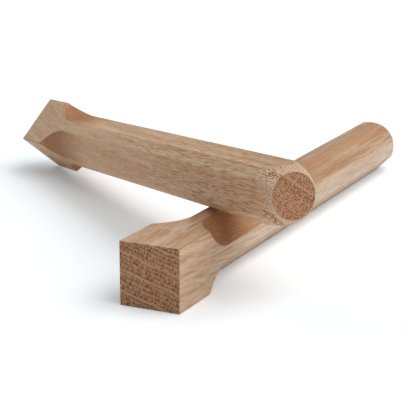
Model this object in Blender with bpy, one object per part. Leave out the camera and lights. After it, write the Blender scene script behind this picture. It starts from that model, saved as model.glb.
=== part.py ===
"""A pair of wooden claves: two like sticks, one lying flat and one leaning across it.

Each stick is a square bar. One end stays square for the length of the head. From there to the other
end all four arrises are cut away by deep chamfers, which rise out of the wood in a cove at the head.
The far end is turned to a rounded tip with a flat round face. The two tips were turned by hand, and
they differ a little.

The lower stick lies along +Y on its square head and on one narrow strip. The upper stick stands on
one corner of its head, and one of its wide facets lies across the lower stick's top strip.
Units are metres, +Z is up, and the origin is the centre of the lower head's underside.
"""

from math import acos, asin, atan2, cos, hypot, pi, radians, sin, sqrt, tan

import bmesh
import bpy
from mathutils import Matrix, Vector

# Driving dimensions of a stick
SIDE = 0.020                # the square bar, across its flat sides
LENGTH = 0.200              # whole stick, from the head's end face to the tip's
HEAD_LENGTH = 0.020         # square part of the head, before the coves begin
STRIP_WIDTH = 0.0048        # what the chamfers leave of each flat side
COVE_RADIUS = 0.020         # round of the cutter that leaves the wood at the head
TURNED_RADIUS = 0.0106      # radius at which the turning starts, just outside the strips' edges

# The turned tips. Each one's outline is an arc of an ellipse, widest where the turning starts.
LOWER_TIP = {
    "length": 0.0145,       # turned part, along the stick
    "reach": 0.0260,        # semi-axis of the ellipse along the stick
    "face": 0.0071,         # radius of the flat round face
}
UPPER_TIP = {
    "length": 0.0130,
    "reach": 0.0146,
    "face": 0.0071,
}

# How the upper stick leans
CORNER_X = -0.1179          # where the lowest corner of its head stands on the table
CORNER_Y = 0.1318
HEADING = radians(127.94)   # its direction from head to tip, turned from +Y towards +X
CONTACT_GAP = 0.0003        # air left between the two sticks where they touch

# Fineness of the curved faces
COVE_STEPS = 16
TURNED_STEPS = 12
TURNED_SIDES = 96

# Colour and finish of the bare oak
LOWER_OAK = (0.53, 0.34, 0.20, 1.0)
UPPER_OAK = (0.47, 0.30, 0.17, 1.0)
OAK_ROUGHNESS = 0.55

# Sizes that follow from the driving dimensions
ARRIS_RADIUS = SIDE / sqrt(2)                        # from the axis to an arris of the head
FACET_RADIUS = (SIDE + STRIP_WIDTH) / (2 * sqrt(2))  # from the axis to a chamfer's facet
CUT_DEPTH = ARRIS_RADIUS - FACET_RADIUS
CUTTER_MARGIN = 0.006                                # how far the cutters reach past the wood


def clear_scene():
    for old in list(bpy.data.objects):
        bpy.data.objects.remove(old, do_unlink=True)


def add_object(name, mesh):
    piece = bpy.data.objects.new(name, mesh)
    bpy.context.scene.collection.objects.link(piece)
    return piece


def oak(name, colour):
    material = bpy.data.materials.new(name)
    material.use_nodes = True
    shader = material.node_tree.nodes["Principled BSDF"]
    shader.inputs["Base Color"].default_value = colour
    shader.inputs["Roughness"].default_value = OAK_ROUGHNESS
    shader.inputs["Metallic"].default_value = 0.0
    material.diffuse_color = colour
    return material


def square_bar():
    """The blank, along +Y from the head's end face, a little longer than the stick."""
    shape = bmesh.new()
    bmesh.ops.create_cube(shape, size=1.0)
    length = LENGTH + CUTTER_MARGIN
    bmesh.ops.scale(shape, vec=(SIDE, length, SIDE), verts=shape.verts)
    bmesh.ops.translate(shape, vec=(0, length / 2, 0), verts=shape.verts)
    mesh = bpy.data.meshes.new("square_bar")
    shape.to_mesh(mesh)
    shape.free()
    return add_object("square_bar", mesh)


def cove_profile():
    """Outline of a chamfer's cut in a plane through the axis, as (along the stick, from the axis)."""
    cove_end = HEAD_LENGTH + sqrt(2 * COVE_RADIUS * CUT_DEPTH - CUT_DEPTH ** 2)
    centre = FACET_RADIUS + COVE_RADIUS
    sweep = asin((cove_end - HEAD_LENGTH) / COVE_RADIUS) + radians(8)
    outline = []
    for step in range(COVE_STEPS + 1):
        angle = sweep * (1 - step / COVE_STEPS)
        outline.append((cove_end - COVE_RADIUS * sin(angle), centre - COVE_RADIUS * cos(angle)))
    outer = ARRIS_RADIUS + CUTTER_MARGIN
    outline.append((LENGTH + 2 * CUTTER_MARGIN, FACET_RADIUS))
    outline.append((LENGTH + 2 * CUTTER_MARGIN, outer))
    outline.append((outline[0][0], outer))
    return outline


def chamfer_cutter(turn):
    """A straight prism over one arris, with the cove's profile; turn is its angle about the stick."""
    shape = bmesh.new()
    half_width = SIDE
    corners = [shape.verts.new((-half_width, along, out)) for along, out in cove_profile()]
    side = shape.faces.new(corners)
    swept = bmesh.ops.extrude_face_region(shape, geom=[side])
    moved = [item for item in swept["geom"] if isinstance(item, bmesh.types.BMVert)]
    bmesh.ops.translate(shape, vec=(2 * half_width, 0, 0), verts=moved)
    bmesh.ops.rotate(shape, cent=(0, 0, 0), matrix=Matrix.Rotation(turn, 3, "Y"), verts=shape.verts)
    bmesh.ops.recalc_face_normals(shape, faces=shape.faces)
    mesh = bpy.data.meshes.new("chamfer_cutter")
    shape.to_mesh(mesh)
    shape.free()
    return add_object("chamfer_cutter", mesh)


def turned_profile(tip):
    """Half outline of a turned tip, as (from the axis, along the stick), from the axis outwards."""
    start = LENGTH - tip["length"]
    sweep = asin(tip["length"] / tip["reach"])
    depth = (TURNED_RADIUS - tip["face"]) / (1 - cos(sweep))
    outline = [(0.0, LENGTH)]
    for step in range(TURNED_STEPS + 1):
        angle = sweep * (1 - step / TURNED_STEPS)
        out = TURNED_RADIUS - depth * (1 - cos(angle))
        outline.append((out, start + tip["reach"] * sin(angle)))
    outer = ARRIS_RADIUS + CUTTER_MARGIN
    outline.append((outer, start))
    outline.append((outer, -CUTTER_MARGIN))
    outline.append((0.0, -CUTTER_MARGIN))
    return outline


def turned_envelope(tip):
    """The space that the turning leaves: wide along the bar, and narrowing round the tip."""
    shape = bmesh.new()
    points = [shape.verts.new((out, along, 0)) for out, along in turned_profile(tip)]
    edges = [shape.edges.new(pair) for pair in zip(points, points[1:])]
    bmesh.ops.spin(shape, geom=points + edges, cent=(0, 0, 0), axis=(0, 1, 0), angle=2 * pi,
                   steps=TURNED_SIDES, use_merge=True)
    bmesh.ops.remove_doubles(shape, verts=shape.verts, dist=1e-7)
    bmesh.ops.recalc_face_normals(shape, faces=shape.faces)
    mesh = bpy.data.meshes.new("turned_envelope")
    shape.to_mesh(mesh)
    shape.free()
    return add_object("turned_envelope", mesh)


def stick_mesh(tip):
    """One stick: the bar with its four arrises chamfered and its tip turned."""
    bar = square_bar()
    tools = []
    for quarter in range(4):
        cutter = chamfer_cutter(radians(45 + 90 * quarter))
        tools.append((cutter, "DIFFERENCE"))
    tools.append((turned_envelope(tip), "INTERSECT"))
    for tool, operation in tools:
        cut = bar.modifiers.new(tool.name, "BOOLEAN")
        cut.operation = operation
        cut.solver = "EXACT"
        cut.object = tool
        tool.hide_render = True
        tool.display_type = "WIRE"
    shaped = bar.evaluated_get(bpy.context.evaluated_depsgraph_get())
    mesh = bpy.data.meshes.new_from_object(shaped)
    mesh.name = "clave"
    for tool, _ in tools:
        bpy.data.objects.remove(tool, do_unlink=True)
    bpy.data.objects.remove(bar, do_unlink=True)
    mesh.shade_smooth()
    mesh.set_sharp_from_angle(angle=radians(14))
    return mesh


def lean_matrix():
    """Place of the upper stick, from where it stands and what it lies on.

    Seen along +Y, the facet it lies on is a line through the near edge of the lower stick's top
    strip, and passes above the head's lowest corner by the depth of the chamfer.
    """
    run = -STRIP_WIDTH / 2 - CORNER_X
    rise = SIDE + CONTACT_GAP
    slope = acos(CUT_DEPTH / hypot(run, rise)) - atan2(run, rise)
    down = Vector((sin(slope), 0, -cos(slope)))
    along = Vector((sin(HEADING), cos(HEADING), sin(HEADING) * tan(slope))).normalized()
    across = down.cross(along)
    local_x = (across - down).normalized()
    local_z = (-across - down).normalized()
    place = Matrix((local_x, along, local_z)).transposed().to_4x4()
    place.translation = Vector((CORNER_X, CORNER_Y, 0)) - down * ARRIS_RADIUS
    return place


def add_stick(name, tip, place, material):
    stick = add_object(name, stick_mesh(tip))
    stick.matrix_world = place
    stick.data.materials.clear()
    stick.data.materials.append(material)
    return stick


def build():
    clear_scene()
    flat = Matrix.Translation((0, -HEAD_LENGTH / 2, SIDE / 2))
    add_stick("lower_clave", LOWER_TIP, flat, oak("lower_oak", LOWER_OAK))
    add_stick("upper_clave", UPPER_TIP, lean_matrix(), oak("upper_oak", UPPER_OAK))


build()
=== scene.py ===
"""Looks of a pair of oak claves: two like sticks, one lying flat and one leaning across it.

Each stick is one closed mesh in the solids' shape, with its edges sanded round. Its oak is a solid
texture, worked out from where each point lay in the tree, so the figure runs on round every edge.
"""

from math import acos, asin, atan, atan2, cos, hypot, pi, radians, sin, sqrt, tan
from typing import NamedTuple

import bmesh
import bpy
from mathutils import Matrix, Vector


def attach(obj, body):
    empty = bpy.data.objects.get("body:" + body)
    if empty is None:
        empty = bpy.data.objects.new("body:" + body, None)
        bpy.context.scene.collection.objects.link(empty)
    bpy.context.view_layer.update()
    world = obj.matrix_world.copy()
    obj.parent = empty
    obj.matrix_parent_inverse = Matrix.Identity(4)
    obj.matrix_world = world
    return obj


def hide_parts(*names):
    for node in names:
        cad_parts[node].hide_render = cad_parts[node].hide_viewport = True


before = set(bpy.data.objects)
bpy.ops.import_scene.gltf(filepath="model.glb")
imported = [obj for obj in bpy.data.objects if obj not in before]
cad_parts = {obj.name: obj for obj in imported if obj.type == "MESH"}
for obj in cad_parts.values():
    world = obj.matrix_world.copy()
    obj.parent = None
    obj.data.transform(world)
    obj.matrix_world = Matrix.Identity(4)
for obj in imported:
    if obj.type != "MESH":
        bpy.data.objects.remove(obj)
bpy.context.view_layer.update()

# A stick, metres: the same driving dimensions as the solids
SIDE = 0.020                 # the square bar, across its flat sides
LENGTH = 0.200
HEAD_LENGTH = 0.020          # square part of the head, before the coves begin
STRIP_WIDTH = 0.0048         # what the chamfers leave of each flat side
COVE_RADIUS = 0.020          # round of the cutter that leaves the wood at the head
TURNED_RADIUS = 0.0106       # radius at which the turning starts, just outside the strips' edges

# Sizes that follow from them
HALF = SIDE / 2
ARRIS_RADIUS = SIDE / sqrt(2)                        # from the axis to an arris of the head
FACET_RADIUS = (SIDE + STRIP_WIDTH) / (2 * sqrt(2))  # from the axis to a chamfer's facet
CUT_DEPTH = ARRIS_RADIUS - FACET_RADIUS
COVE_END = HEAD_LENGTH + sqrt(2 * COVE_RADIUS * CUT_DEPTH - CUT_DEPTH ** 2)

# How the upper stick leans: the same as in the solids
CORNER_X = -0.1179           # where the lowest corner of its head stands on the table
CORNER_Y = 0.1318
HEADING = radians(127.94)    # its direction from head to tip, turned from +Y towards +X
CONTACT_GAP = 0.0003         # air left between the two sticks where they touch


class Finish(NamedTuple):
    """How one stick's tip is turned and how far its edges are sanded round, metres."""
    tip_length: float     # turned part, along the stick
    tip_reach: float      # semi-axis, along the stick, of the ellipse that the turning follows
    tip_face: float       # radius of the flat round face
    softening: float      # round on the arrises and on the ends' edges


LOWER_FINISH = Finish(tip_length=0.0145, tip_reach=0.0260, tip_face=0.0071, softening=0.00030)
UPPER_FINISH = Finish(tip_length=0.0130, tip_reach=0.0146, tip_face=0.0071, softening=0.00035)


# ---------------------------------------------------------------- shape of a stick

# Fineness of the mesh round the stick
FLAT_STEPS = 4               # faces across each flat side or facet
TURN_STEPS = 10              # faces across each rounded arris, and each eighth of the turned end

# Fineness of the mesh along the stick
HEAD_EDGE_STEPS = 5
HEAD_STEPS = 8
COVE_STEPS = 36
SHAFT_STEPS = 32
TIP_STEPS = 36
TIP_EDGE_STEPS = 6

SAME_POINT = 2e-6            # metres; points closer than this become one
SHARP_ANGLE = radians(32)    # edges that turn by more than this stay sharp
LARGE_FACE_WEIGHT = 100      # lets the large faces lead the shading of the roundings beside them


def turned_radii(finish):
    """Radius of the turned end along the stick, as (along, radius), with its tip's edge softened."""
    start = LENGTH - finish.tip_length
    sweep = asin(finish.tip_length / finish.tip_reach)
    depth = (TURNED_RADIUS - finish.tip_face) / (1 - cos(sweep))
    slope = atan(depth * tan(sweep) / finish.tip_reach)
    soft = finish.softening
    soft_start = finish.tip_length - soft * (1 - sin(slope))
    soft_sweep = asin(soft_start / finish.tip_reach)
    points = []
    for step in range(1, TIP_STEPS + 1):
        angle = soft_sweep * step / TIP_STEPS
        out = TURNED_RADIUS - depth * (1 - cos(angle))
        points.append((start + finish.tip_reach * sin(angle), out))
    centre = points[-1][1] - soft * cos(slope)
    for step in range(1, TIP_EDGE_STEPS + 1):
        angle = slope + (pi / 2 - slope) * step / TIP_EDGE_STEPS
        points.append((LENGTH - soft + soft * sin(angle), centre + soft * cos(angle)))
    return points


def facet_distance(along):
    """Distance of the chamfer's surface from the axis: none on the head, then the cove, then flat."""
    if along >= COVE_END:
        return FACET_RADIUS
    if along <= HEAD_LENGTH:
        return ARRIS_RADIUS
    return FACET_RADIUS + COVE_RADIUS - sqrt(COVE_RADIUS ** 2 - (COVE_END - along) ** 2)


def section(along, soft, inset, turned):
    """Points of one cross-section, as (x, z), all the way round.

    soft is the round on the arrises, inset draws the flats in at the head's end, and turned is the
    radius that the turning leaves. The points go over a flat side, a rounded arris, a facet, a
    rounded arris, and so on. Where the turning cuts the arrises away, their points spread over the
    round that it leaves.
    """
    flat = HALF - inset
    soft = soft - inset
    square_facet = (flat - soft) * sqrt(2) + soft
    facet = min(facet_distance(along), square_facet)
    centre = Vector((flat - soft, (facet - soft) * sqrt(2) - (flat - soft)))
    flat_end = atan2(centre.y, flat)
    facet_start = centre + Vector((soft, soft)) / sqrt(2)
    facet_end = atan2(facet_start.y, facet_start.x)
    arris = centre.length + soft
    is_turned = turned < arris
    if is_turned:
        flat_end = acos(min(1, flat / turned))
        facet_end = pi / 4 - acos(min(1, facet / turned))

    eighth = []
    for step in range(FLAT_STEPS // 2):
        angle = flat_end * step / (FLAT_STEPS / 2)
        eighth.append((min(flat / cos(angle), turned), angle))
    for step in range(TURN_STEPS + 1):
        part = step / TURN_STEPS
        if is_turned:
            eighth.append((turned, flat_end + (facet_end - flat_end) * part))
        else:
            turn = pi / 4 * part
            spot = centre + soft * Vector((cos(turn), sin(turn)))
            eighth.append((spot.length, atan2(spot.y, spot.x)))
    for step in range(1, FLAT_STEPS // 2 + 1):
        angle = facet_end + (pi / 4 - facet_end) * step / (FLAT_STEPS / 2)
        eighth.append((min(facet / cos(pi / 4 - angle), turned), angle))

    quarter = eighth + [(out, pi / 2 - angle) for out, angle in reversed(eighth[1:-1])]
    points = []
    for turn in range(4):
        for out, angle in quarter:
            points.append((out * cos(angle + turn * pi / 2), out * sin(angle + turn * pi / 2)))
    return points


def stations(finish):
    """Cross-sections along the stick, as (along, inset, turned radius)."""
    wide = 2 * ARRIS_RADIUS
    soft = finish.softening
    shaft_end = LENGTH - finish.tip_length
    places = []
    for step in range(HEAD_EDGE_STEPS + 1):
        angle = pi / 2 * (1 - step / HEAD_EDGE_STEPS)
        places.append((soft * (1 - sin(angle)), soft * (1 - cos(angle)), wide))
    stretches = ((soft, HEAD_LENGTH, HEAD_STEPS), (HEAD_LENGTH, COVE_END, COVE_STEPS),
                 (COVE_END, shaft_end, SHAFT_STEPS))
    for start, end, steps in stretches:
        for step in range(1, steps + 1):
            places.append((start + (end - start) * step / steps, 0, wide))
    for along, radius in turned_radii(finish):
        places.append((along, 0, radius))
    return places


def stick_mesh(name, finish):
    """One closed mesh, along +Y from the centre of the head's end face."""
    shape = bmesh.new()
    rings = []
    for along, inset, turned in stations(finish):
        outline = section(along, finish.softening, inset, turned)
        rings.append([shape.verts.new((x, along, z)) for x, z in outline])
    count = len(rings[0])
    for near, far in zip(rings, rings[1:]):
        for here in range(count):
            there = (here + 1) % count
            shape.faces.new((near[here], far[here], far[there], near[there]))
    shape.faces.new(rings[0])
    shape.faces.new(rings[-1][::-1])
    bmesh.ops.remove_doubles(shape, verts=shape.verts, dist=SAME_POINT)
    bmesh.ops.recalc_face_normals(shape, faces=shape.faces)
    mesh = bpy.data.meshes.new(name)
    shape.to_mesh(mesh)
    shape.free()
    mesh.shade_smooth()
    mesh.set_sharp_from_angle(angle=SHARP_ANGLE)
    return mesh


def lean_matrix():
    """Place of the upper stick, from where it stands and what it lies on, as in the solids.

    Seen along +Y, the facet it lies on is a line through the near edge of the lower stick's top
    strip, and passes above the head's lowest corner by the depth of the chamfer.
    """
    run = -STRIP_WIDTH / 2 - CORNER_X
    rise = SIDE + CONTACT_GAP
    slope = acos(CUT_DEPTH / hypot(run, rise)) - atan2(run, rise)
    down = Vector((sin(slope), 0, -cos(slope)))
    along = Vector((sin(HEADING), cos(HEADING), sin(HEADING) * tan(slope))).normalized()
    across = down.cross(along)
    local_x = (across - down).normalized()
    local_z = (-across - down).normalized()
    place = Matrix((local_x, along, local_z)).transposed().to_4x4()
    place.translation = Vector((CORNER_X, CORNER_Y, 0)) - down * ARRIS_RADIUS
    return place


def add_stick(name, finish, place, material, node, body):
    """One stick where it lies, in place of the solid called node."""
    stick = bpy.data.objects.new(name, stick_mesh(name, finish))
    bpy.context.scene.collection.objects.link(stick)
    stick.data.transform(place)
    stick.data.materials.append(material)
    crisp = stick.modifiers.new("crisp_shading", "WEIGHTED_NORMAL")
    crisp.weight = LARGE_FACE_WEIGHT
    crisp.keep_sharp = True
    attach(stick, body)
    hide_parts(node)


# ---------------------------------------------------------------- node graphs

MIX_FIRST, MIX_SECOND, MIX_RESULT = 6, 7, 2      # a Mix node's sockets for colours


class Graph:
    """Adds nodes to one material and links plain numbers, vectors or sockets into them."""

    def __init__(self, tree):
        self.tree = tree

    def node(self, kind, inputs=None, **settings):
        made = self.tree.nodes.new(kind)
        for key, value in settings.items():
            setattr(made, key, value)
        for key, value in (inputs or {}).items():
            self.feed(made.inputs[key], value)
        return made

    def feed(self, socket, value):
        if isinstance(value, bpy.types.NodeSocket):
            self.tree.links.new(value, socket)
        else:
            socket.default_value = value

    def math(self, operation, first, second=0.0):
        made = self.node("ShaderNodeMath", {0: first, 1: second}, operation=operation)
        return made.outputs[0]

    def times(self, *factors):
        product = factors[0]
        for factor in factors[1:]:
            product = self.math("MULTIPLY", product, factor)
        return product

    def vector(self, operation, first, second):
        made = self.node("ShaderNodeVectorMath", {0: first, 1: second}, operation=operation)
        return made.outputs["Value" if operation == "DOT_PRODUCT" else "Vector"]

    def scaled(self, vector, factor):
        made = self.node("ShaderNodeVectorMath", {0: vector, "Scale": factor}, operation="SCALE")
        return made.outputs["Vector"]

    def combine(self, x, y, z=0.0):
        return self.node("ShaderNodeCombineXYZ", {"X": x, "Y": y, "Z": z}).outputs[0]

    def split(self, vector):
        return self.node("ShaderNodeSeparateXYZ", {"Vector": vector}).outputs

    def ramp(self, value, low, high, to_low=0.0, to_high=1.0):
        """value from low..high to to_low..to_high, eased at both ends."""
        made = self.node("ShaderNodeMapRange", {"Value": value, "From Min": low, "From Max": high,
                                                "To Min": to_low, "To Max": to_high},
                         interpolation_type="SMOOTHSTEP")
        return made.outputs[0]

    def noise(self, place, detail, roughness=0.5, colour=False):
        made = self.node("ShaderNodeTexNoise", {"Vector": place, "Scale": 1.0, "Detail": detail,
                                                "Roughness": roughness})
        return made.outputs["Color" if colour else "Fac"]

    def cells(self, place, randomness):
        """Distance to the nearest cell's centre, and a random number for that cell, in a plane."""
        made = self.node("ShaderNodeTexVoronoi", {"Vector": place, "Scale": 1.0,
                                                  "Randomness": randomness},
                         voronoi_dimensions="2D")
        parts = self.node("ShaderNodeSeparateColor", {"Color": made.outputs["Color"]})
        return made.outputs["Distance"], parts.outputs[0]

    def mix(self, factor, first, second):
        made = self.node("ShaderNodeMix", {"Factor": factor, MIX_FIRST: first, MIX_SECOND: second},
                         data_type="RGBA")
        return made.outputs[MIX_RESULT]

    def layered(self, base, layers):
        """base with each of the layers, as (how much, colour), laid over it in turn."""
        for amount, colour in layers:
            base = self.mix(amount, base, colour)
        return base


# ---------------------------------------------------------------- the oak


class Wood(NamedTuple):
    """One stick's piece of oak. Lengths are in mm; colours are linear."""
    seed: float           # shifts the noise that makes the grain wander, so that the sticks differ
    pith: tuple           # centre of the growth rings, as (x, z) from the stick's axis
    bend: tuple           # how far the grain has drifted at the head, as (x, z)
    ring_width: float
    ring_start: float     # distance from the pith at which one ring starts
    late_row: float       # width of the dense line that ends a ring, as a share of the ring
    pore_pitch: tuple     # (across the rings, along the rings)
    pore_rows: float      # how regularly the pores stand, from 1, at random, to 0, in rows
    early_row: float      # how much larger the pores are at the start of a ring
    clear_ray: tuple      # one broad ray: (along the rings, nearest and furthest from the pith)
    side_pores: tuple     # how dark the pores are on the sides, at the head and at the tip
    dash_rates: tuple     # fineness of the dashes on the sides, as the rates below
    streaking: float      # strength of the warm streaks along the grain
    far_side_shade: tuple     # painted shade, darker and warmer, on the side away from the pith, the upper stick's underside: (past this distance from the pith, how much)
    layers: tuple         # how much of the pale layer low down and of the upper colour high up, as (pale, upper)
    upper_start: tuple    # stretch along the stick over which the upper colour fades in
    cove_shade: tuple        # where the painted shade at the coves lies: (so far from the head's end, above this z)
    strip_light: float        # how much paler the strips are painted, as painted light
    light: tuple          # colours of the sides
    mid: tuple
    warm: tuple
    upper: tuple          # the upper colour, darker, high up: part of the oak's figure, and on the upper stick also painted shade on its top
    pale: tuple           # low down, on the head and round the turned tip
    strip_light_colour: tuple         # the strips' paler colour, painted light
    cove_shade_colour: tuple          # painted shade on the coves and the facets beside them: the upper stick's shadow on the lower one, and the upper stick's own shaded coves
    pore: tuple
    end_light: tuple      # colours of the end grain
    end_mid: tuple
    end_pore: tuple       # also the darkest fibres in the painted shade at the coves


LOWER_WOOD = Wood(
    seed=3.1, pith=(-70.0, -250.0), bend=(0.0, -5.0),
    ring_width=5.8, ring_start=259.3, late_row=0.12,
    pore_pitch=(1.25, 0.42), pore_rows=0.42, early_row=0.04, clear_ray=(-1.2, 249.0, 258.5),
    side_pores=(0.40, 0.25), dash_rates=(2.0, 0.11, 2.0), streaking=0.70, far_side_shade=(300.0, 0.0),
    layers=(1.0, 1.0), upper_start=(50.0, 105.0), cove_shade=(80.0, -4.0), strip_light=0.25,
    light=(0.71, 0.53, 0.375, 1.0), mid=(0.58, 0.37, 0.215, 1.0), warm=(0.47, 0.235, 0.105, 1.0),
    upper=(0.40, 0.225, 0.125, 1.0), pale=(0.65, 0.515, 0.39, 1.0), strip_light_colour=(0.80, 0.68, 0.54, 1.0),
    cove_shade_colour=(0.46, 0.20, 0.07, 1.0), pore=(0.33, 0.14, 0.055, 1.0),
    end_light=(0.585, 0.33, 0.178, 1.0), end_mid=(0.465, 0.243, 0.118, 1.0),
    end_pore=(0.12, 0.030, 0.007, 1.0))

UPPER_WOOD = Wood(
    seed=17.4, pith=(4.0, 110.0), bend=(5.8, -11.5),
    ring_width=10.9, ring_start=107.2, late_row=0.04,
    pore_pitch=(0.54, 0.50), pore_rows=0.75, early_row=0.12, clear_ray=(3.0, 108.0, 112.0),
    side_pores=(0.20, 0.95), dash_rates=(4.8, 0.17, 4.8), streaking=0.45, far_side_shade=(112.0, 0.20),
    layers=(0.0, 0.6), upper_start=(25.0, 55.0), cove_shade=(62.0, -30.0), strip_light=0.60,
    light=(0.81, 0.60, 0.41, 1.0), mid=(0.72, 0.465, 0.27, 1.0), warm=(0.57, 0.295, 0.13, 1.0),
    upper=(0.48, 0.40, 0.30, 1.0), pale=(0.76, 0.635, 0.495, 1.0), strip_light_colour=(0.84, 0.65, 0.455, 1.0),
    cove_shade_colour=(0.36, 0.125, 0.038, 1.0), pore=(0.37, 0.15, 0.052, 1.0),
    end_light=(0.59, 0.325, 0.18, 1.0), end_mid=(0.47, 0.235, 0.122, 1.0),
    end_pore=(0.11, 0.034, 0.012, 1.0))

MM_PER_METRE = 1000.0

# Rates: how fine each figure is, per mm, as (from the pith, along the grain, round the pith)
UNEVEN_RINGS = (0.10, 0.004, 0.03)
RAYS = (0.05, 0.04, 1.5)
FIBRES = (3.0, 0.10, 3.0)
THREADS = (9.0, 0.45, 9.0)
STREAKS = (0.80, 0.035, 0.80)
BROAD_STREAKS = (0.42, 0.014, 0.42)
BANDS = (0.42, 0.005, 0.14)
SPECKLE = (5.0, 0.5, 7.0)

# The same in the stick's own space, as (x, along the stick, z)
SLOW_WANDER = (0.05, 0.014, 0.05)
QUICK_WANDER = (0.30, 0.07, 0.30)
BLOTCHES = (0.11, 0.035, 0.11)

# Lengths in mm
SLOW_WIDTH = 2.6             # how far the grain wanders to and fro
QUICK_WIDTH = 0.7
BEND_START = 120.0           # from the head's end, where the grain starts to drift
CLEAR_RAY_EDGE = (0.08, 0.30)        # to either side of the clear ray, over which it ends
CLEAR_RAY_FADE = 0.6         # to either side of its two ends, over which it fades
FAR_SHADE_EDGE = 1.2              # over which the painted shade on the far side begins
UPPER_HEIGHTS = (2.0, 5.0)   # above the axis, over which the upper colour comes
PALE_HEIGHTS = (5.5, 2.0)    # above the axis, over which the pale layer comes, downwards
LAYER_WAVES = 6.0            # how far both waver up and down
COVE_SHADE_FADE = 35.0          # over which the painted shade at the coves ends, along the stick
COVE_SHADE_EDGE = 4.0           # over which it begins, upwards

# Stretches along the stick, in mm from the head's end, over which a tone comes or goes
SIDE_PORE_STRETCH = (40.0, 170.0)
PALE_STRETCH = (10.0, 70.0)
HEAD_STRETCH = (16.0, 40.0)
STRIP_STRETCH = (25.0, 60.0)
TURNED_STRETCH = (180.0, 186.0)

# How far the surface faces along the stick or as the facets do, where a tone comes or goes
TURNED_FACING = (0.02, 0.40)
END_GRAIN_FACING = (0.72, 0.93)
STRIP_FACING = (0.15, 0.60)
COVE_SHADE_FACING = (0.35, 0.75)

# A ring, as shares of its width
RING_WAVES = 0.16            # how far its edge wavers
EARLY_START = (0.0, 0.02)    # over which its early wood comes
EARLY_END = (0.08, 0.30)     # over which its early wood goes
DENSE_EDGE = 0.05            # over which its dense line comes
DENSE_END = (0.97, 1.0)      # over which its dense line goes

# The pores, as shares of their pitch
PORE_RADIUS = 0.31
PORE_VARIETY = 0.16          # how much wider the widest are
DENSE_SHRINKAGE = 0.20       # how much narrower they are in the dense line
PORE_EDGE = (-0.10, 0.08)    # soft edge of a pore, from outside to inside
CORE_EDGE = (0.02, 0.16)     # and of its core

# How the pores and dashes show on the sides
PORE_BREAKS = (37.0, 0.16)   # how fast a pore comes and goes: (from pore to pore, per mm along it)
DASH_FRAYING = 0.22          # how much the threads fray the dashes
DASH_EDGE = (0.595, 0.65)    # how high the noise is where a dash begins and where it is full

# Finish of the surface
OAK_ROUGHNESS = 0.52
PORE_ROUGHNESS = 0.25        # how much rougher the open pores are
OAK_GLOSS = 0.35             # specular level
BUMP_STRENGTH = 0.5
PORE_DEPTH = 0.00006         # metres
FIBRE_HEIGHT = 0.35          # as a share of the pores' depth


class Point(NamedTuple):
    """Sockets for where a point of the surface lies, in mm, and how the surface faces there."""
    spot: object          # place in the stick's own space
    height: object        # its z there
    along: object         # distance along the stick, from the head's end
    radial: object        # distance from the pith
    round_pith: object    # distance round the pith
    end_facing: object    # how far the surface faces along the stick, from 0 to 1
    facet_facing: object  # how far it faces as the facets do, from 0 to 1


class Figure(NamedTuple):
    """Sockets for what the wood holds at a point, from 0 to 1."""
    early: object         # early wood, at the start of a ring
    dense: object         # the dense line that ends a ring
    pores: object         # pores, with soft edges
    cores: object         # the pores' cores
    chance: object        # a random number for each pore
    speckle: object       # small pores, in groups
    fibres: object
    threads: object       # the finest fibres
    streaks: object       # soft stripes along the grain


def wander(g, spot, rates, width):
    """How far the grain wanders across the stick at a spot."""
    unit = g.noise(g.vector("MULTIPLY", spot, rates), 1.0, colour=True)
    centred = g.vector("SUBTRACT", unit, (0.5, 0.5, 0.5))
    return g.vector("MULTIPLY", centred, (width, 0.0, width))


def straightened(g, spot, along, wood):
    """The spot moved to where it would lie if the grain were straight."""
    seeded = g.vector("ADD", spot, (wood.seed,) * 3)
    slow = wander(g, seeded, SLOW_WANDER, SLOW_WIDTH)
    quick = wander(g, seeded, QUICK_WANDER, QUICK_WIDTH)
    near_head = g.math("MAXIMUM", g.math("SUBTRACT", 1.0, g.math("DIVIDE", along, BEND_START)), 0.0)
    drift = g.scaled((wood.bend[0], 0.0, wood.bend[1]), g.times(near_head, near_head))
    return g.vector("ADD", g.vector("ADD", spot, slow), g.vector("ADD", quick, drift))


def pith_distances(g, spot, wood):
    """How far the spot is from the pith, and how far round it from the bearing of the stick's axis."""
    parts = g.split(spot)
    across = g.math("SUBTRACT", parts["X"], wood.pith[0])
    upward = g.math("SUBTRACT", parts["Z"], wood.pith[1])
    radial = g.math("SQRT", g.math("ADD", g.times(across, across), g.times(upward, upward)))
    bearing = atan2(-wood.pith[0], -wood.pith[1])
    turned_x = g.math("SUBTRACT", g.times(across, cos(bearing)), g.times(upward, sin(bearing)))
    turned_z = g.math("ADD", g.times(across, sin(bearing)), g.times(upward, cos(bearing)))
    return radial, g.times(g.math("ARCTAN2", turned_x, turned_z), hypot(*wood.pith))


def shaded_point(g, place, wood):
    """The Point that is being shaded, on the stick that the matrix place puts where it lies."""
    coordinate = g.node("ShaderNodeTexCoord").outputs
    own_space = g.node("ShaderNodeMapping", {"Vector": coordinate["Object"],
                                             "Location": place.translation,
                                             "Rotation": place.to_euler()}, vector_type="TEXTURE")
    spot = g.scaled(own_space.outputs[0], MM_PER_METRE)
    parts = g.split(spot)
    radial, round_pith = pith_distances(g, straightened(g, spot, parts["Y"], wood), wood)
    facing = [g.math("ABSOLUTE", g.vector("DOT_PRODUCT", coordinate["Normal"], axis.xyz))
              for axis in place.col[:3]]
    return Point(spot=spot, height=parts["Z"], along=parts["Y"], radial=radial, round_pith=round_pith,
                 end_facing=facing[1], facet_facing=g.times(facing[0], facing[2], 2.0))


def grain_noise(g, point, rates, detail, roughness=0.5):
    """Noise that is drawn out along the grain."""
    distances = (point.radial, point.along, point.round_pith)
    place = g.combine(*(g.times(distance, rate) for distance, rate in zip(distances, rates)))
    return g.noise(place, detail, roughness)


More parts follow.
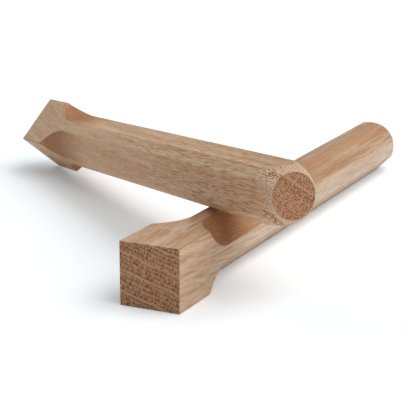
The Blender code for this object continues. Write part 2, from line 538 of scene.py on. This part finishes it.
def growth_rings(g, point, wood):
    """The year's growth here: its early wood, 1 at the start of a ring, and its last dense line."""
    waves = g.math("SUBTRACT", grain_noise(g, point, UNEVEN_RINGS, 1.0), 0.5)
    year = g.math("DIVIDE", g.math("SUBTRACT", point.radial, wood.ring_start), wood.ring_width)
    phase = g.math("FRACT", g.math("ADD", year, g.times(waves, RING_WAVES)))
    early = g.times(g.ramp(phase, *EARLY_START), g.ramp(phase, *EARLY_END, 1.0, 0.0))
    late = 1.0 - wood.late_row
    dense = g.times(g.ramp(phase, late - DENSE_EDGE, late), g.ramp(phase, *DENSE_END, 1.0, 0.0))
    return early, dense


def pore_mask(g, point, wood, early, dense):
    """Pores and their cores, each 1 inside, and each pore's random number.

    The pores are tubes of various widths along the grain.
    """
    plane = g.combine(g.math("DIVIDE", point.radial, wood.pore_pitch[0]),
                      g.math("DIVIDE", point.round_pith, wood.pore_pitch[1]))
    distance, chance = g.cells(plane, wood.pore_rows)
    size = g.math("ADD", PORE_RADIUS, g.times(chance, PORE_VARIETY))
    size = g.math("ADD", size, g.times(early, wood.early_row))
    size = g.math("SUBTRACT", size, g.times(dense, DENSE_SHRINKAGE))
    inside = g.math("SUBTRACT", size, distance)
    return g.ramp(inside, *PORE_EDGE), g.ramp(inside, *CORE_EDGE), chance


def figure_at(g, point, wood):
    """What the wood holds at the point."""
    early, dense = growth_rings(g, point, wood)
    pores, cores, chance = pore_mask(g, point, wood, early, dense)
    speckle = grain_noise(g, point, SPECKLE, 1.0)
    return Figure(
        early=early, dense=dense, pores=g.times(pores, g.ramp(speckle, 0.32, 0.58, 0.35, 1.0)),
        cores=cores, chance=chance, speckle=speckle,
        fibres=grain_noise(g, point, FIBRES, 3.0, 0.6), threads=grain_noise(g, point, THREADS, 1.0),
        streaks=grain_noise(g, point, STREAKS, 3.0, 0.6))


def surfacing_pores(g, point, figure, wood):
    """Pores on the sides, each of which is at the surface for a short way only, and dark dashes."""
    dashes = g.math("ADD", grain_noise(g, point, wood.dash_rates, 0.0),
                    g.times(g.math("SUBTRACT", figure.threads, 0.5), DASH_FRAYING))
    broken = g.noise(g.combine(g.times(figure.chance, PORE_BREAKS[0]),
                               g.times(point.along, PORE_BREAKS[1])), 1.0)
    opened = g.times(figure.cores, g.ramp(broken, 0.45, 0.60),
                     g.math("ADD", 0.35, g.times(figure.early, 0.2)))
    darker = g.math("MAXIMUM", opened, g.times(g.ramp(dashes, *DASH_EDGE), 0.85))
    return g.times(darker, g.ramp(point.along, *SIDE_PORE_STRETCH, *wood.side_pores))


def layer_masks(g, point, figure, wood):
    """How far the point is in the pale layer, low down, and in the one of the upper colour."""
    waves = g.times(g.math("SUBTRACT", figure.streaks, 0.5), LAYER_WAVES)
    height = g.math("ADD", point.height, waves)
    low, high = wood.layers
    pale = g.times(g.ramp(height, *PALE_HEIGHTS), g.ramp(point.along, *PALE_STRETCH, 0.2, 1.0), low)
    broad = grain_noise(g, point, BROAD_STREAKS, 1.0)
    upper = g.times(g.ramp(height, *UPPER_HEIGHTS), g.ramp(point.along, *wood.upper_start),
                    g.ramp(broad, 0.38, 0.56, 0.45, 1.0), high)
    return pale, upper


def side_colour(g, point, figure, wood, surfacing):
    """The long sides: stripes of growth, painted light on the strips, painted shade at the coves,
    below and above, fibres, and pores last.
    """
    bands = grain_noise(g, point, BANDS, 2.0)
    blotches = g.noise(g.vector("MULTIPLY", point.spot, BLOTCHES), 2.0)
    # Painted shade on the side away from the pith, which is the upper stick's underside
    shade_start, shade_strength = wood.far_side_shade
    far_shade = g.times(g.ramp(point.radial, shade_start, shade_start + FAR_SHADE_EDGE), shade_strength)
    pale, upper = layer_masks(g, point, figure, wood)
    head = g.ramp(point.along, *HEAD_STRETCH, 0.30, 0.0)
    # Painted light: the flat strips are paler than the facets
    strips = g.times(g.ramp(point.facet_facing, *STRIP_FACING, 1.0, 0.0),
                     g.ramp(point.along, *STRIP_STRETCH, 0.3, 1.0))
    # Painted shade on the coves and the facets beside them: the upper stick's shadow on the lower one,
    # and the upper stick's own shaded coves
    cove_shade_end, cove_shade_low = wood.cove_shade
    cove_shade = g.times(g.ramp(point.facet_facing, *COVE_SHADE_FACING),
                      g.ramp(point.along, cove_shade_end - COVE_SHADE_FADE, cove_shade_end, 1.0, 0.0),
                      g.ramp(point.height, cove_shade_low, cove_shade_low + COVE_SHADE_EDGE))
    turning = g.times(g.ramp(point.end_facing, *TURNED_FACING),
                      g.ramp(point.along, *TURNED_STRETCH))
    streak = g.times(g.ramp(figure.streaks, 0.46, 0.66), g.ramp(pale, 0.0, 1.0, wood.streaking, 0.25))
    turned_dots = g.times(figure.cores, turning, g.math("ADD", 0.15, g.times(figure.early, 0.85)))
    return g.layered(wood.light, (
        (g.ramp(bands, 0.40, 0.58), wood.mid),
        (g.times(g.ramp(blotches, 0.40, 0.70), 0.30), wood.mid),
        # painted shade on the far side
        (far_shade, wood.warm),
        # the upper colour high up: part of the oak's figure, and on the upper stick also painted shade
        # on its top
        (g.times(upper, 0.85), wood.upper),
        (pale, wood.pale),
        (head, wood.pale),
        (g.times(strips, wood.strip_light), wood.strip_light_colour),
        # painted shade at the coves
        (g.times(cove_shade, 0.85), wood.cove_shade_colour),
        (streak, wood.warm),
        (g.times(turning, 0.50), wood.pale),
        (g.times(g.ramp(figure.fibres, 0.42, 0.68), 0.40), wood.warm),
        (g.times(g.ramp(figure.threads, 0.40, 0.65), 0.18), wood.pore),
        # the darkest fibres within the painted shade at the coves
        (g.times(g.ramp(figure.fibres, 0.45, 0.62), cove_shade, 0.30), wood.end_pore),
        (surfacing, wood.pore),
        (turned_dots, wood.pore)))


def ray_masks(g, point, wood):
    """Rays: thin sheets that stand across the rings, seen as light lines on end grain."""
    fine = g.ramp(grain_noise(g, point, RAYS, 2.0), 0.52, 0.68)
    place, near, far = wood.clear_ray
    off = g.math("ABSOLUTE", g.math("SUBTRACT", point.round_pith, place))
    clear = g.times(g.ramp(off, *CLEAR_RAY_EDGE, 1.0, 0.0),
                    g.ramp(point.radial, near - CLEAR_RAY_FADE, near + CLEAR_RAY_FADE),
                    g.ramp(point.radial, far - CLEAR_RAY_FADE, far + CLEAR_RAY_FADE, 1.0, 0.0))
    return fine, clear


def end_colour(g, point, figure, wood):
    """The end grain: pores as dots, light rays, and the dense line that ends each ring."""
    fine_rays, clear_ray = ray_masks(g, point, wood)
    return g.layered(wood.end_light, (
        (g.ramp(figure.streaks, 0.35, 0.65), wood.end_mid),
        (g.times(fine_rays, 0.45), wood.end_light),
        (g.times(figure.dense, 0.60), wood.end_light),
        (g.times(figure.pores, g.ramp(figure.chance, 0.0, 1.0, 0.55, 1.0)), wood.end_pore),
        (g.times(clear_ray, 0.70), wood.end_light),
        (g.times(g.ramp(figure.speckle, 0.40, 0.70), 0.20), wood.end_pore)))


def oak(name, place, wood):
    """Bare oak as a solid: rings round a distant pith, with pores and rays that run with the grain.

    End grain shows the pores as dots and the rings as bands; the sides show them as dashes and
    stripes.
    """
    material = bpy.data.materials.new(name)
    material.use_nodes = True
    shader = material.node_tree.nodes["Principled BSDF"]
    g = Graph(material.node_tree)
    point = shaded_point(g, place, wood)
    figure = figure_at(g, point, wood)
    surfacing = surfacing_pores(g, point, figure, wood)

    end_grain = g.ramp(point.end_facing, *END_GRAIN_FACING)
    colour = g.mix(end_grain, side_colour(g, point, figure, wood, surfacing),
                   end_colour(g, point, figure, wood))
    g.feed(shader.inputs["Base Color"], colour)

    open_pores = g.math("MAXIMUM", surfacing, g.times(figure.pores, end_grain))
    roughness = g.math("ADD", OAK_ROUGHNESS, g.times(open_pores, PORE_ROUGHNESS))
    g.feed(shader.inputs["Roughness"], roughness)
    shader.inputs["Specular IOR Level"].default_value = OAK_GLOSS

    height = g.math("SUBTRACT", g.times(figure.fibres, FIBRE_HEIGHT), open_pores)
    bump = g.node("ShaderNodeBump", {"Strength": BUMP_STRENGTH, "Distance": PORE_DEPTH,
                                     "Height": height})
    g.feed(shader.inputs["Normal"], bump.outputs[0])
    return material


# ---------------------------------------------------------------- surroundings

FLOOR_REACH = 6.0            # metres from the middle to each side
FLOOR_WHITE = (0.97, 0.97, 0.97, 1.0)
FLOOR_ROUGHNESS = 0.9
FLOOR_GLOW = (0.62, 0.86, 1.0, 1.0)
FLOOR_LIFT = 0.18            # glow that only the camera sees, which takes the floor up to white

WORLD_WHITE = (1.0, 1.0, 1.0, 1.0)
WORLD_STRENGTH = 0.14        # on the object; the camera sees plain white

# Softboxes: (name, heading from +Y towards +X and height over the floor, both in degrees, strength).
# At strength 1, one lights a white surface that faces it to plain white.
SOFTBOXES = (
    ("right_back", 60, 55, 0.44),
    ("right_front", 120, 55, 0.33),
    ("left_back", 300, 55, 0.13),
    ("right_low", 90, 22, 0.08),
    ("left_low", 270, 22, 0.05),
)
SOFTBOX_SPREAD = radians(45)         # how broad each one looks from the object

# The camera, as the photograph was taken
CAMERA_PLACE = (0.18679, -0.35790, 0.13946)
CAMERA_HEADING = radians(-25.807)    # from +Y towards +X
CAMERA_PITCH = radians(15.301)       # downwards
CAMERA_LENS = 123.687                # mm
CAMERA_SENSOR = 36.0                 # mm wide
CAMERA_RANGE = (0.01, 50.0)          # metres


def floor_material():
    material = bpy.data.materials.new("white_floor")
    material.use_nodes = True
    g = Graph(material.node_tree)
    shader = material.node_tree.nodes["Principled BSDF"]
    shader.inputs["Base Color"].default_value = FLOOR_WHITE
    shader.inputs["Roughness"].default_value = FLOOR_ROUGHNESS
    shader.inputs["Specular IOR Level"].default_value = 0.0
    shader.inputs["Emission Color"].default_value = FLOOR_GLOW
    seen = g.node("ShaderNodeLightPath").outputs["Is Camera Ray"]
    g.feed(shader.inputs["Emission Strength"], g.times(seen, FLOOR_LIFT))
    return material


def add_floor():
    mesh = bpy.data.meshes.new("floor")
    corners = [(x * FLOOR_REACH, y * FLOOR_REACH, 0) for x, y in ((-1, -1), (1, -1), (1, 1), (-1, 1))]
    mesh.from_pydata(corners, [], [(0, 1, 2, 3)])
    floor = bpy.data.objects.new("floor", mesh)
    bpy.context.scene.collection.objects.link(floor)
    mesh.materials.append(floor_material())


def add_world():
    world = bpy.data.worlds.new("studio")
    bpy.context.scene.world = world
    world.use_nodes = True
    background = world.node_tree.nodes["Background"]
    background.inputs["Color"].default_value = WORLD_WHITE
    g = Graph(world.node_tree)
    seen = g.node("ShaderNodeLightPath").outputs["Is Camera Ray"]
    level = g.math("ADD", WORLD_STRENGTH, g.times(seen, 1.0 - WORLD_STRENGTH))
    g.feed(background.inputs["Strength"], level)


def add_softbox(name, heading, height, strength):
    """A broad soft lamp, far away."""
    lamp = bpy.data.lights.new(name, "SUN")
    lamp.energy = strength * pi
    lamp.angle = SOFTBOX_SPREAD
    holder = bpy.data.objects.new(name, lamp)
    around, up = radians(heading), radians(height)
    towards = Vector((sin(around) * cos(up), cos(around) * cos(up), sin(up)))
    holder.rotation_euler = towards.to_track_quat("Z", "Y").to_euler()
    bpy.context.scene.collection.objects.link(holder)


def add_camera():
    lens = bpy.data.cameras.new("camera")
    lens.lens = CAMERA_LENS
    lens.sensor_width = CAMERA_SENSOR
    lens.clip_start, lens.clip_end = CAMERA_RANGE
    camera = bpy.data.objects.new("camera", lens)
    camera.location = CAMERA_PLACE
    camera.rotation_euler = (pi / 2 - CAMERA_PITCH, 0, -CAMERA_HEADING)
    bpy.context.scene.collection.objects.link(camera)
    bpy.context.scene.camera = camera


def build():
    add_camera()
    add_floor()
    add_world()
    for softbox in SOFTBOXES:
        add_softbox(*softbox)

    flat = Matrix.Translation((0, -HEAD_LENGTH / 2, HALF))
    lean = lean_matrix()
    add_stick("lower_clave_wood", LOWER_FINISH, flat, oak("lower_oak", flat, LOWER_WOOD),
              "lower_clave", "lower")
    add_stick("upper_clave_wood", UPPER_FINISH, lean, oak("upper_oak", lean, UPPER_WOOD),
              "upper_clave", "upper")
    bpy.context.scene.view_settings.view_transform = "Standard"


build()
